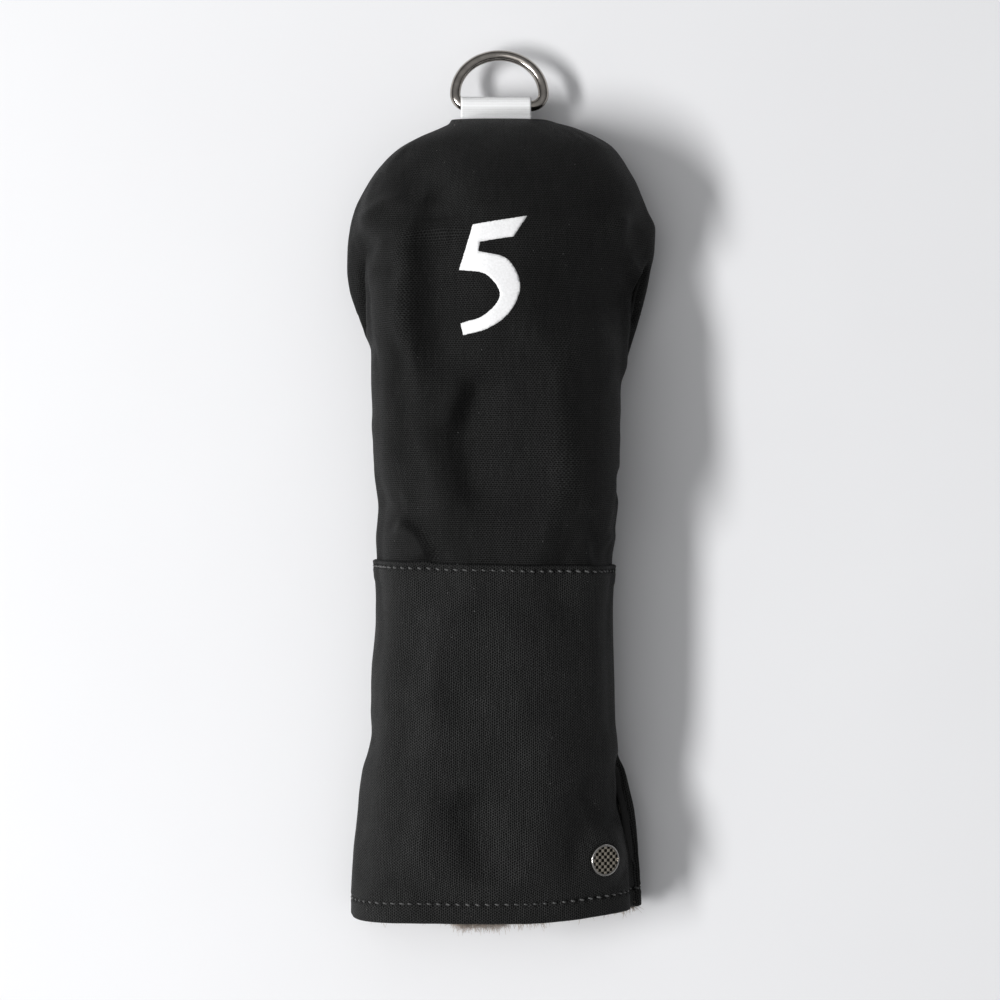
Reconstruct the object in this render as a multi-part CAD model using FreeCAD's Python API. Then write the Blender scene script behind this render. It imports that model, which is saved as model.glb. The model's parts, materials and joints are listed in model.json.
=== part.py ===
import FreeCAD, Part

import math
import os

from FreeCAD import Vector

# Fairway wood headcover, lying on its back.
# Millimetres. +Z is up through the front face, +Y runs from the mouth to the crown, +X is to the right of the
# front face. The origin is on the flat of the back, half way along the body.
#
# The wall is built in layers, and "depth" is the distance of a surface inside the outermost cloth.

# ---- driving dimensions -------------------------------------------------------------------------------------
BODY_LENGTH = 285.5        # hem edge to the outer edge of the crown seam
MOUTH_Y, CROWN_Y = -BODY_LENGTH / 2, BODY_LENGTH / 2
HEAD_Y = 95.0              # widest section of the head
SEAM_Z = 14.0              # height of the side seams, which is also the widest height of every section
BASE_DIP = 1.5             # how far the loose form sinks through the rest plane, which is what makes the flat
TOP_POWER, BASE_POWER = 2.5, 3.0   # superellipse powers above and below the side seams

# y, left half-width, right half-width, height of the front face; from below the mouth to the widest section
SLEEVE_STATIONS = (
    (-150.0, 52.8, 53.0, 42.8),
    (-130.0, 52.4, 52.4, 43.8),
    (-111.0, 50.9, 50.4, 45.4),
    (-89.0, 47.6, 46.0, 47.2),
    (-65.0, 44.8, 43.0, 48.4),
    (-20.0, 43.8, 42.4, 49.0),
    (26.0, 44.2, 43.2, 50.0),
    (50.0, 46.0, 46.8, 52.0),
    (72.0, 50.8, 53.2, 54.0),
)
HEAD_LEFT, HEAD_RIGHT, HEAD_TOP = 55.2, 58.2, 55.0
DOME_ANGLES = (0, 14, 28, 42, 54, 64, 72, 79, 85, 90)   # degrees of the dome's quarter turn, head to crown
DOME_LEFT_POWER, DOME_RIGHT_POWER = 1.35, 1.9     # the left shoulder falls away sooner than the right
DOME_TOP_POWER, DOME_BASE_POWER = 2.5, 4.0
CROWN_HALF_WIDTH = 16.9
CROWN_HALF_HEIGHT = 2.5
CROWN_HEIGHT_LOSS, CROWN_LEAST_HEIGHT = 0.45, 0.4   # half-height lost per depth, and the least left
CROWN_SEAM_ROOM = 4.6      # extra room at the crown for what is sewn there, filled by the wadding
CROWN_PAD_CLEAR = (3.0, 1.6)   # room in the wadding round the webbing tails, along X and Z

# layers, as depths
CANVAS = (0.0, 0.8)
TWILL = (0.9, 1.7)
WADDING = (1.8, 3.2)
SEAM_TAPE = (1.8, 2.7)
ELASTIC = (1.9, 3.1)
LINING = (3.3, 5.3)
PANEL_GAP = 0.05           # half the gap between two pieces that meet at a seam
SLIVER = 0.01              # a solid smaller than this, in cubic millimetres, is only a leftover of a cut

# the canvas sleeve laps over the twill head panels along a slightly tilted band
BAND_Y = -17.0
BAND_TILT = -1.2           # degrees about +Z
BAND_LAP = 7.0
BAND_STEP = 1.2            # length of the twill's step down under the canvas edge
HEM_TURN = 9.0             # height of the canvas turned up inside the mouth
HEAD_WADDING_Y = -13.0
SLEEVE_WADDING_Y = (-131.5, -33.0)
ELASTIC_Y = (-31.5, -19.0)
LINING_MOUTH_Y = -141.7
TAPE_HALF_HEIGHT = 4.5
TAPE_CLEAR = 0.4           # between a tape's edge and the wadding
HEAD_TAPE_TOP_Y = 123.0

STITCH_RADIUS, STITCH_LENGTH, STITCH_PITCH = 0.3, 2.3, 3.7
STITCH_LIFT = 0.02         # least height of a stitch above the rest plane
BAND_STITCH_INSET = 2.0    # below the top edge of the canvas
HEM_STITCH_INSET = 6.8     # above the hem edge

# webbing loop and ring at the crown
WEB_WIDTH, WEB_PLY = 25.4, 0.8
LOOP_AXIS_Y = CROWN_Y + 1.2    # fold line of the webbing, just outside the crown seam
LOOP_TILT = -12.0          # degrees about +X: the loop and ring droop towards the table
EYE_RADIUS = 3.1           # inside of the loop, round about the ring's bar so that the ring can swing
RING_BAR_OUT = 3.7         # from the fold line to the middle of the ring's bar
RING_WIRE_RADIUS = 1.9
RING_HALF_WIDTH = 15.9     # to the wire's centre line
RING_SLIDE_X = 1.2         # the ring rests a little to the right in its loop
RING_CORNER = 4.6
RING_HEIGHT = 19.3         # bar to top of the arch, between wire centre lines
TAIL_LENGTH = 5.6          # webbing sewn into the crown seam, between the panels' turned-in edges
TAIL_END_GAP = 0.15        # between the tails and the open part of the loop
TAIL_CLEAR = 0.08
CROWN_TURN_X, CROWN_TURN_Y = 15.0, CROWN_Y - 5.8   # half-width and inner end of the turned-in edges
CROWN_STITCH_Y = CROWN_Y - 3.8
CROWN_STITCHES = 7

# club number
NUMBER_CENTRE = Vector(-1.0, 83.5, 0)
NUMBER_SCALE = 0.965
NUMBER_DEPTH = (0.64, 0.88)
NUMBER_OUTER_BOWL = ((-5.2, 8.5), (5.4, 5.4), (9.8, -4.0), (5.6, -13.9), (-2.0, -19.3), (-10.7, -21.5))
NUMBER_INNER_BOWL = ((-11.7, -17.2), (-3.2, -14.5), (2.5, -7.0), (-1.9, -0.3), (-12.2, 1.9))
NUMBER_FLAG = ((-7.2, 17.9), (12.3, 20.9), (7.4, 13.6), (-4.6, 11.8))

# stud near the hem
STUD_X, STUD_Y = 37.7, -120.7
STUD_SEAT = 0.35           # the cap stands clear of the curved cloth, and the back plate does inside it
STUD_CAP_RADIUS, STUD_CAP_HEIGHT, STUD_RIM = 5.6, 1.5, 0.7
STUD_FILLET = 0.4
STUD_RECESS, STUD_INLAY_DROP = 0.5, 0.1   # depth of the recess, and of the inlay's face below the rim
STUD_INLAY_GAP = 0.03
STUD_GROOVE_RADII = (1.2, 2.2, 3.2)
STUD_GROOVE_HALF_WIDTH, STUD_GROOVE_DEPTH = 0.2, 0.15
STUD_POST_RADIUS, STUD_HOLE_RADIUS = 1.3, 1.4
STUD_PLATE_RADIUS, STUD_PLATE_HEIGHT = 4.5, 0.8
STUD_PLATE_BORE_GAP = 0.02
STUD_PLATE_CLEAR = 1.2     # room in the wadding round the back plate
SLOPE_STEP = 2.0           # distance over which the cloth's slope under the stud is taken

FAR = 400.0


# ---- forms --------------------------------------------------------------------------------------------------
def section(y, left, right, top, base):
    """Closed curve across the body at y: one superellipse above the side seams and a squarer one below."""
    points = []
    count = 32
    for i in range(count):
        a = 2 * math.pi * i / count
        c, s = math.cos(a), math.sin(a)
        power = TOP_POWER if s >= 0 else BASE_POWER
        half = right if c >= 0 else left
        rise = (top - SEAM_Z) if s >= 0 else (SEAM_Z - base)
        x = math.copysign(abs(c) ** (2 / power), c) * half
        z = SEAM_Z + math.copysign(abs(s) ** (2 / power), s) * rise
        points.append(Vector(x, y, z))
    curve = Part.BSplineCurve()
    steps = [i / count for i in range(count + 1)]
    curve.interpolate(Points=points, PeriodicFlag=True, Parameters=steps)
    return Part.Wire(curve.toShape())


def dome_station(angle, depth):
    """Section of the head's dome: from the widest section at 0 degrees to the crown edge at 90."""
    t = math.sin(math.radians(angle))
    crown_y = CROWN_Y + TWILL[0] - depth
    if depth > WADDING[0]:
        crown_y -= CROWN_SEAM_ROOM
    narrow_left, narrow_right, low, level = (
        math.sqrt(max(0.0, 1 - t ** power))
        for power in (DOME_LEFT_POWER, DOME_RIGHT_POWER, DOME_TOP_POWER, DOME_BASE_POWER)
    )
    edge = CROWN_HALF_WIDTH - depth
    half_height = max(CROWN_HALF_HEIGHT - CROWN_HEIGHT_LOSS * depth, CROWN_LEAST_HEIGHT)
    y = HEAD_Y + (crown_y - HEAD_Y) * t
    left = edge + (HEAD_LEFT - depth - edge) * narrow_left
    right = edge + (HEAD_RIGHT - depth - edge) * narrow_right
    top_edge, base_edge = SEAM_Z + half_height, SEAM_Z - half_height
    top = top_edge + (HEAD_TOP - depth - top_edge) * low
    base = base_edge + (depth - BASE_DIP - base_edge) * level
    return section(y, left, right, top, base)


FORMS = {}


def form(depth, floor):
    """Solid form of the whole body at a depth, resting on a flat at height floor."""
    if (depth, floor) not in FORMS:
        wires = [
            section(y, left - depth, right - depth, top - depth, depth - BASE_DIP)
            for y, left, right, top in SLEEVE_STATIONS
        ]
        wires += [dome_station(angle, depth) for angle in DOME_ANGLES]
        solid = Part.makeLoft(wires, True, False)
        FORMS[(depth, floor)] = solid.common(block(z=(floor, FAR)))
    return FORMS[(depth, floor)]


def block(x=(-FAR, FAR), y=(-FAR, FAR), z=(-FAR, FAR), tilt_at=None):
    """Box between limits; tilt_at turns it about +Z by the band's tilt around that y on the centre line."""
    box = Part.makeBox(x[1] - x[0], y[1] - y[0], z[1] - z[0], Vector(x[0], y[0], z[0]))
    if tilt_at is not None:
        box.rotate(Vector(0, tilt_at, 0), Vector(0, 0, 1), BAND_TILT)
    return box


def skin(layer, floors=None):
    """The wall between the two depths of a layer."""
    low, high = floors or layer
    return form(layer[0], low).cut(form(layer[1], high))


def front(shape):
    return shape.common(block(z=(SEAM_Z + PANEL_GAP, FAR)))


def back(shape):
    return shape.common(block(z=(-FAR, SEAM_Z - PANEL_GAP)))


def pieces(shape):
    """The solids of a shape, without slivers left by cutting."""
    solids = [s for s in shape.Solids if s.Volume > SLIVER]
    return solids[0] if len(solids) == 1 else Part.makeCompound(solids)


# ---- cloth layers -------------------------------------------------------------------------------------------
def sleeve_canvas():
    """Canvas tube of the sleeve with its hem turned up inside the mouth."""
    below_band = block(y=(-FAR, BAND_Y), tilt_at=BAND_Y)
    fold_y = MOUTH_Y + CANVAS[1] - CANVAS[0]
    ply = skin(CANVAS).common(block(y=(fold_y, FAR))).common(below_band)
    turned = skin(TWILL).common(block(y=(fold_y, MOUTH_Y + HEM_TURN)))
    fold = skin((CANVAS[0], TWILL[1])).common(block(y=(MOUTH_Y, fold_y)))
    return ply.fuse([turned, fold])


def head_twill():
    """Twill of the head. It lies on the rest plane above the band and steps inside the canvas at the lap."""
    thickness = TWILL[1] - TWILL[0]
    lap_edge = block(y=(BAND_Y + PANEL_GAP, FAR), tilt_at=BAND_Y)
    step_edge = block(y=(BAND_Y + BAND_STEP, FAR), tilt_at=BAND_Y)
    low_edge = block(y=(BAND_Y - BAND_LAP, BAND_Y + PANEL_GAP), tilt_at=BAND_Y)
    head = skin(TWILL, (0.0, thickness)).common(step_edge)
    riser = skin(TWILL, (0.0, TWILL[1])).common(lap_edge).cut(step_edge)
    lap = skin(TWILL).common(low_edge)
    return head.fuse([riser, lap])


def wadding(y_low, y_high, floors):
    """Padding with room left along the side seams for the seam tapes."""
    room = TAPE_HALF_HEIGHT + TAPE_CLEAR
    layer = skin(WADDING, floors).common(block(y=(y_low, y_high)))
    seam_room = block(z=(SEAM_Z - room, SEAM_Z + room))
    return layer.cut(seam_room)


def seam_tape(y_low, y_high, side):
    """Strip of tape bound over the seam allowance inside one side seam."""
    x = (0, FAR) if side > 0 else (-FAR, 0)
    height = (SEAM_Z - TAPE_HALF_HEIGHT, SEAM_Z + TAPE_HALF_HEIGHT)
    return skin(SEAM_TAPE).common(block(x=x, y=(y_low, y_high), z=height))


def crown_slot(clear_x, clear_z):
    """Room through the crown seam for the webbing tails, or for all that is sewn there."""
    half = WEB_WIDTH / 2 + clear_x
    thick = WEB_PLY + clear_z
    y = (CROWN_TURN_Y - clear_x, FAR)
    return block(x=(-half, half), y=y, z=(SEAM_Z - thick, SEAM_Z + thick))


def crown_turn(side):
    """Edge of a head panel turned in against the tails; side is 1 for the front and -1 for the back."""
    near = SEAM_Z + side * (WEB_PLY + PANEL_GAP)
    far = near + side * (TWILL[1] - TWILL[0])
    strip = block(x=(-CROWN_TURN_X, CROWN_TURN_X), y=(CROWN_TURN_Y, FAR), z=sorted((near, far)))
    return strip.common(form(TWILL[0], 0.0))


# ---- stitching ----------------------------------------------------------------------------------------------
def capsule(start, end, radius):
    """One stitch: a round-ended rod from start to end."""
    along = end - start
    rod = Part.makeCylinder(radius, along.Length, start, along)
    return rod.fuse([Part.makeSphere(radius, start), Part.makeSphere(radius, end)])


def stitch_ring(depth, y, tilt, radius):
    """Row of stitches round the body on the surface at a depth, in a plane at y turned by tilt degrees."""
    normal = Vector(-math.sin(math.radians(tilt)), math.cos(math.radians(tilt)), 0)
    wire = max(form(depth, 0.0).slice(normal, normal.y * y), key=lambda w: w.Length)
    count = round(wire.Length / STITCH_PITCH)
    share = STITCH_LENGTH / STITCH_PITCH
    marks = wire.discretize(Number=4 * count + 1)
    stitches = []
    lowest = radius + STITCH_LIFT
    for i in range(count):
        start, after = marks[4 * i], marks[4 * i + 3]
        end = start + (after - start) * (share / 0.75)
        start.z, end.z = max(start.z, lowest), max(end.z, lowest)
        stitches.append(capsule(start, end, radius))
    return Part.makeCompound(stitches)


def crown_stitches():
    """Stitches through the turned-in edges of both head panels and the webbing tails between them."""
    rise = WEB_PLY + PANEL_GAP + TWILL[1] - TWILL[0]
    stitches = []
    for i in range(CROWN_STITCHES):
        x = (i - (CROWN_STITCHES - 1) / 2) * STITCH_PITCH
        low, high = (Vector(x, CROWN_STITCH_Y, SEAM_Z + side * rise) for side in (-1, 1))
        stitches.append(capsule(low, high, STITCH_RADIUS))
    return Part.makeCompound(stitches)


# ---- webbing loop and ring ----------------------------------------------------------------------------------
def droop(shape):
    """Turns a piece drawn flat in the seam plane down to its rest tilt about the fold line."""
    shape.rotate(Vector(0, LOOP_AXIS_Y, SEAM_Z), Vector(1, 0, 0), LOOP_TILT)
    return shape


def across_web(radius, out):
    """Round bar across the webbing, centred at a distance out from the fold line."""
    start = Vector(-WEB_WIDTH / 2, LOOP_AXIS_Y + out, SEAM_Z)
    return Part.makeCylinder(radius, WEB_WIDTH, start, Vector(1, 0, 0))


def webbing_loop():
    """The open part of the loop: a round eye and, at the fold line, its two plies pinched together."""
    size = (WEB_WIDTH, RING_BAR_OUT, 2 * WEB_PLY)
    pinch = Part.makeBox(*size, Vector(-WEB_WIDTH / 2, LOOP_AXIS_Y, SEAM_Z - WEB_PLY))
    eye = across_web(EYE_RADIUS + WEB_PLY, RING_BAR_OUT)
    loop = eye.fuse([pinch, across_web(WEB_PLY, 0.0)])
    return droop(loop.cut(across_web(EYE_RADIUS, RING_BAR_OUT)))


def webbing_tails():
    """The two ends of the loop, sewn flat between the front and back of the crown."""
    size = (WEB_WIDTH, TAIL_LENGTH - TAIL_END_GAP, 2 * WEB_PLY)
    return Part.makeBox(*size, Vector(-WEB_WIDTH / 2, CROWN_Y - TAIL_LENGTH, SEAM_Z - WEB_PLY))


def ring():
    """Round-wire D ring: a straight bar inside the loop, tight corners and a half-ellipse arch."""
    def at(x, out):
        return Vector(RING_SLIDE_X + x, LOOP_AXIS_Y + RING_BAR_OUT + out, SEAM_Z)

    straight = RING_HALF_WIDTH - RING_CORNER
    mid_x = straight + RING_CORNER * math.sqrt(0.5)
    mid_out = RING_CORNER * (1 - math.sqrt(0.5))
    bar = Part.makeLine(at(-straight, 0), at(straight, 0))
    right = Part.Arc(at(straight, 0), at(mid_x, mid_out), at(RING_HALF_WIDTH, RING_CORNER))
    left = Part.Arc(at(-RING_HALF_WIDTH, RING_CORNER), at(-mid_x, mid_out), at(-straight, 0))
    ellipse = Part.Ellipse(at(0, RING_CORNER), RING_HALF_WIDTH, RING_HEIGHT - RING_CORNER)
    arch = Part.ArcOfEllipse(ellipse, 0, math.pi)
    path = Part.Wire([bar, right.toShape(), arch.toShape(), left.toShape()])
    wire = Part.Wire(Part.makeCircle(RING_WIRE_RADIUS, at(-straight, 0), Vector(1, 0, 0)))
    return droop(path.makePipeShell([wire], True, False))


# ---- club number --------------------------------------------------------------------------------------------
def number():
    """A plain sloped 5, laid on the front of the head as a thin film that follows the cloth."""
    def at(point):
        return NUMBER_CENTRE + Vector(*point, 0) * NUMBER_SCALE

    def bowl(points):
        curve = Part.BSplineCurve()
        curve.interpolate([at(p) for p in points])
        return curve.toShape()

    corners = [at(p) for p in (NUMBER_INNER_BOWL[-1], *NUMBER_FLAG, NUMBER_OUTER_BOWL[0])]
    sides = [Part.makeLine(a, b) for a, b in zip(corners, corners[1:])]
    foot = Part.makeLine(at(NUMBER_OUTER_BOWL[-1]), at(NUMBER_INNER_BOWL[0]))
    outline = Part.Wire(sides + [bowl(NUMBER_OUTER_BOWL), foot, bowl(NUMBER_INNER_BOWL)])
    prism = Part.Face(outline).extrude(Vector(0, 0, FAR))
    prism.translate(Vector(0, 0, SEAM_Z))
    return prism.common(skin(NUMBER_DEPTH))


# ---- stud ---------------------------------------------------------------------------------------------------
def stud_frame():
    """Point on the canvas under the stud and the outward normal there."""
    def height(x, y):
        line = Part.makeLine(Vector(x, y, SEAM_Z), Vector(x, y, FAR))
        return max(v.Z for v in form(CANVAS[0], 0.0).common(line).Vertexes)

    def slope(dx, dy):
        ahead, behind = height(STUD_X + dx, STUD_Y + dy), height(STUD_X - dx, STUD_Y - dy)
        return (ahead - behind) / (2 * SLOPE_STEP)

    normal = Vector(-slope(SLOPE_STEP, 0), -slope(0, SLOPE_STEP), 1)
    normal.normalize()
    return Vector(STUD_X, STUD_Y, height(STUD_X, STUD_Y)), normal


def disc(base, normal, radius, low, high):
    """Cylinder along the stud's axis between two heights above its seat on the canvas."""
    return Part.makeCylinder(radius, high - low, base + normal * low, normal)


def stud_parts():
    """Cap, inlay, post and back plate of the stud, and the holes it needs in the cloth."""
    base, normal = stud_frame()
    beyond = 1.0           # how far a cutting cylinder runs past what it cuts
    top = STUD_SEAT + STUD_CAP_HEIGHT
    cap = disc(base, normal, STUD_CAP_RADIUS, STUD_SEAT, top)
    cap = cap.makeFillet(STUD_FILLET, [cap.Edges[0], cap.Edges[2]])
    inner = STUD_CAP_RADIUS - STUD_RIM
    cap = cap.cut(disc(base, normal, inner, top - STUD_RECESS, top + beyond))
    inlay_low, inlay_top = top - STUD_RECESS + SLIVER, top - STUD_INLAY_DROP
    inlay = disc(base, normal, inner - STUD_INLAY_GAP, inlay_low, inlay_top)
    groove_low = inlay_top - STUD_GROOVE_DEPTH
    for radius in STUD_GROOVE_RADII:
        groove = disc(base, normal, radius + STUD_GROOVE_HALF_WIDTH, groove_low, inlay_top + beyond)
        core = disc(base, normal, radius - STUD_GROOVE_HALF_WIDTH, groove_low - SLIVER, inlay_top + beyond)
        inlay = inlay.cut(groove.cut(core))
    plate_top = -CANVAS[1] - STUD_SEAT
    plate_low = plate_top - STUD_PLATE_HEIGHT
    post = disc(base, normal, STUD_POST_RADIUS, plate_low, STUD_SEAT)
    plate = disc(base, normal, STUD_PLATE_RADIUS, plate_low, plate_top)
    bore = disc(base, normal, STUD_POST_RADIUS + STUD_PLATE_BORE_GAP, plate_low - beyond, plate_top + beyond)
    plate = plate.cut(bore)
    hole = disc(base, normal, STUD_HOLE_RADIUS, -3 * TWILL[1], top)
    room = disc(base, normal, STUD_PLATE_RADIUS + STUD_PLATE_CLEAR, plate_low - STUD_PLATE_CLEAR, 0.0)
    return {"stud_cap": cap, "stud_inlay": inlay, "stud_post": post, "stud_back_plate": plate}, hole, room


# ---- assembly -----------------------------------------------------------------------------------------------
def build():
    stud, stud_hole, stud_room = stud_parts()
    canvas = sleeve_canvas()
    twill = head_twill().cut(crown_slot(TAIL_CLEAR, TAIL_CLEAR))
    drop = WADDING[0] - TWILL[0]
    head_pad = wadding(HEAD_WADDING_Y, FAR, (drop, drop + WADDING[1] - WADDING[0])).cut(crown_slot(*CROWN_PAD_CLEAR))
    sleeve_pad = wadding(*SLEEVE_WADDING_Y, None)
    lining = skin(LINING).common(block(y=(LINING_MOUTH_Y, FAR)))
    elastic = skin(ELASTIC).common(block(y=ELASTIC_Y))
    nodes = {
        "head_front_panel": front(twill).fuse(crown_turn(1)),
        "head_back_panel": back(twill).fuse(crown_turn(-1)),
        "sleeve_front_panel": front(canvas).cut(stud_hole),
        "sleeve_back_panel": back(canvas),
        "head_wadding_front": front(head_pad),
        "head_wadding_back": back(head_pad),
        "sleeve_wadding_front": front(sleeve_pad).cut(stud_room),
        "sleeve_wadding_back": back(sleeve_pad),
        "lining_front": front(lining),
        "lining_back": back(lining),
        "neck_elastic": elastic,
        "head_seam_tape_left": seam_tape(HEAD_WADDING_Y, HEAD_TAPE_TOP_Y, -1),
        "head_seam_tape_right": seam_tape(HEAD_WADDING_Y, HEAD_TAPE_TOP_Y, 1),
        "sleeve_seam_tape_left": seam_tape(*SLEEVE_WADDING_Y, -1),
        "sleeve_seam_tape_right": seam_tape(*SLEEVE_WADDING_Y, 1),
        "band_topstitch": stitch_ring(CANVAS[0], BAND_Y - BAND_STITCH_INSET, BAND_TILT, STITCH_RADIUS),
        "hem_topstitch": stitch_ring(CANVAS[0], MOUTH_Y + HEM_STITCH_INSET, 0.0, STITCH_RADIUS),
        "crown_stitching": crown_stitches(),
        "club_number": number(),
        "webbing_tails": webbing_tails(),
        "webbing_loop": webbing_loop(),
        "d_ring": ring(),
        **stud,
    }
    os.makedirs("parts", exist_ok=True)
    for name, shape in nodes.items():
        solid = pieces(shape)
        state = "valid" if solid.isValid() else "NOT VALID"
        print(f"{name:24s} solids {len(solid.Solids):3d}  {solid.Volume / 1000:8.3f} cm3  {state}")
        solid.exportStep(f"parts/{name}.step")


build()
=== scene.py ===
"""Looks of a fairway wood headcover, built round its CAD frame. Shapes are worked out in millimetres."""
import json
import math

import bpy
import numpy as np
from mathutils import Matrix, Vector, bvhtree, geometry


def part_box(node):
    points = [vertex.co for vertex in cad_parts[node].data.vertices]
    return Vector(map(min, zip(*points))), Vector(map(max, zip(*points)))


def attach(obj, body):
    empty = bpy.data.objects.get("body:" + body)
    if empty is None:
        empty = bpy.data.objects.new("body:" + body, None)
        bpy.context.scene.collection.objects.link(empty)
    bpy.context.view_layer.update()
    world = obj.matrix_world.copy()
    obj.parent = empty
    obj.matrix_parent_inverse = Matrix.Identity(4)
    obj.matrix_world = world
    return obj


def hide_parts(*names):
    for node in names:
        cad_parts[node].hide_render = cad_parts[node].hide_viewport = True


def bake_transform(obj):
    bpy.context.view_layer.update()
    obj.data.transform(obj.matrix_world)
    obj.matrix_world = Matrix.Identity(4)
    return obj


MM = 0.001
SIDES = {True: "front", False: "back"}

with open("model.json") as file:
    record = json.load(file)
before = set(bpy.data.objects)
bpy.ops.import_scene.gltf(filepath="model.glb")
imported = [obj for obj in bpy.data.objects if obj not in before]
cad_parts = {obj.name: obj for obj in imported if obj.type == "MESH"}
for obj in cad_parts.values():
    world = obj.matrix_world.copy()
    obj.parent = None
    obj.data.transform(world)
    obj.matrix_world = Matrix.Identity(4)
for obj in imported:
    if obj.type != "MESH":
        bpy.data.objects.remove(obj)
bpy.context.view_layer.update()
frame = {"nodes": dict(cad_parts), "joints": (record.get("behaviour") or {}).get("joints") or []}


# ---- dimensions taken from the frame, in millimetres
def box_mm(node):
    low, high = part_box(node)
    return np.array(low) / MM, np.array(high) / MM


def centre_mm(node):
    low, high = box_mm(node)
    return (low + high) / 2


sleeve_low, sleeve_high = box_mm("sleeve_front_panel")
head_high = box_mm("head_front_panel")[1]
MOUTH_Y = sleeve_low[1]
CROWN_Y = head_high[1]
SEAM_Z = round(sleeve_low[2], 1)
# the sloping canvas edge, at the middle of the body: between its high end and the low end of its stitching
HALF_TO_STITCHING = 1.6
BAND_Y = (sleeve_high[1] + box_mm("band_topstitch")[0][1]) / 2 + HALF_TO_STITCHING
BAND_SLOPE = -math.tan(math.radians(1.2))
BAND_STITCH_Y = BAND_Y - 2.0
HEM_STITCH_Y = centre_mm("hem_topstitch")[1]
ELASTIC_Y = centre_mm("neck_elastic")[1]
HEAD_Y = 95.0
HEAD_TOP = head_high[2]
LAP = 7.0
TURN_UNDER, HEM = 7.0, 9.0
CLOTH = 0.8
HEAD_COLUMNS, SLEEVE_COLUMNS = {True: 330, False: 200}, {True: 380, False: 240}
STITCH_PITCH = 3.7
DIMPLE_PITCH = 1.6
# depths of the hidden layers below the cover's outer form: outer and inner face
WADDING_DEPTH, LINING_DEPTH, ELASTIC_DEPTH, TAPE_DEPTH = (1.9, 3.1), (3.2, 4.8), (2.0, 2.9), (2.2, 3.0)
LINING_INSET = 1.4

# half-widths of the outline, (y, left, right), from the mouth to the crown
OUTLINE = (
    (-146, 52.2, 52.4), (-134.7, 52.4, 52.4), (-120.3, 51.6, 51.6), (-105.9, 50, 50.2), (-98.7, 49.2, 48.6),
    (-91.5, 48, 46.8), (-84.3, 45.6, 43.9), (-77, 44.2, 42.9), (-62.7, 44.6, 42.6), (-34, 43, 41.9),
    (-14, 43.6, 42.6), (2, 42.5, 43), (16, 43.6, 42.4), (38, 44, 42.8), (46, 44.3, 43.6),
    (52.5, 44.6, 46.4), (59.7, 45.6, 48.6), (66.9, 48.6, 50.8), (74, 51, 52.8), (81.3, 53.2, 54.6),
    (88.5, 54, 56), (95.7, 53.8, 57.2), (102.9, 53, 57.5), (110.1, 51.2, 54.6), (117.3, 47.8, 51.4),
    (124.5, 42.6, 47.6), (131.7, 34.6, 42.6), (136, 26.5, 36), (138.9, 20.4, 28.8), (140.9, 17.2, 22.8),
    (CROWN_Y, 15.8, 16.2),
)
# half-widths of the upper tube: the outline without the back strip at the mouth and without the ears
STRIP_END, EARS_START, EARS_END = -80, 42, 122
SHARED = tuple(row for row in OUTLINE if STRIP_END < row[0] < EARS_START or row[0] > EARS_END)
TUBE = tuple(sorted(SHARED + (
    (-146, 51.4, 50.4), (-134.7, 51.8, 50.4), (-120.3, 51.2, 49), (-112, 50.2, 47.4), (-105.9, 49.6, 45.3),
    (-98.7, 49, 43.5), (-91.5, 47.9, 43.2), (-84.3, 45.6, 43.2), (46, 44.3, 43.4), (52.5, 44.5, 44.9),
    (59.7, 44.9, 46), (66.9, 45.2, 46.9), (74, 45.4, 47.5), (81.3, 45.3, 48.8), (88.5, 45, 52.4),
    (95, 44.9, 54.8), (101, 46.4, 55.6), (107, 48.4, 54.6), (113, 48.6, 52.6), (119, 46.4, 50.6),
)))
# height of the low ears above the side seams, (y, left, right)
EAR_HEIGHT = (
    (-146, 10, 6), (-105, 10, 6), (-84, 8, 5), (0, 6, 6), (50, 6, 7),
    (64, 8, 9), (80, 15, 13), (91, 23, 22), (99, 36, 34), (106, 39, 38),
    (CROWN_Y, 8, 8),
)
# height of the front above the side seams, (y, height), up to the widest part of the head
FRONT_HEIGHT = (
    (-150, 29), (-130, 30.2), (-111, 31.6), (-89, 33.2), (-65, 34.4), (-20, 35), (26, 36),
    (50, 38), (72, 40), (HEAD_Y, HEAD_TOP - SEAM_Z),
)
# how square the front's shoulders are, (y, left, right): the exponent of its superellipse
SHOULDER = (
    (-146, 2.6, 2.1), (-120, 2.8, 2.3), (-95, 3, 3.2), (-50, 3.2, 3.7), (-10, 3.2, 3.8),
    (20, 3.3, 3.6), (50, 3.5, 2.6), (66, 3.6, 2.2), (92, 3.6, 1.9), (104, 2.9, 1.9), (116, 2.6, 2.1),
    (CROWN_Y, 2.5, 2.5),
)
EAR_POWER, BACK_POWER = 2.0, 3.0
# fillet between the ears and the tube, and how much wider it gets where the head swallows the ears
CREASE, MERGE = 1.0, 7.0
CROWN_HALF = 1.2
BASE_DIP = 1.5
SECTION_POINTS = 721

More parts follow.
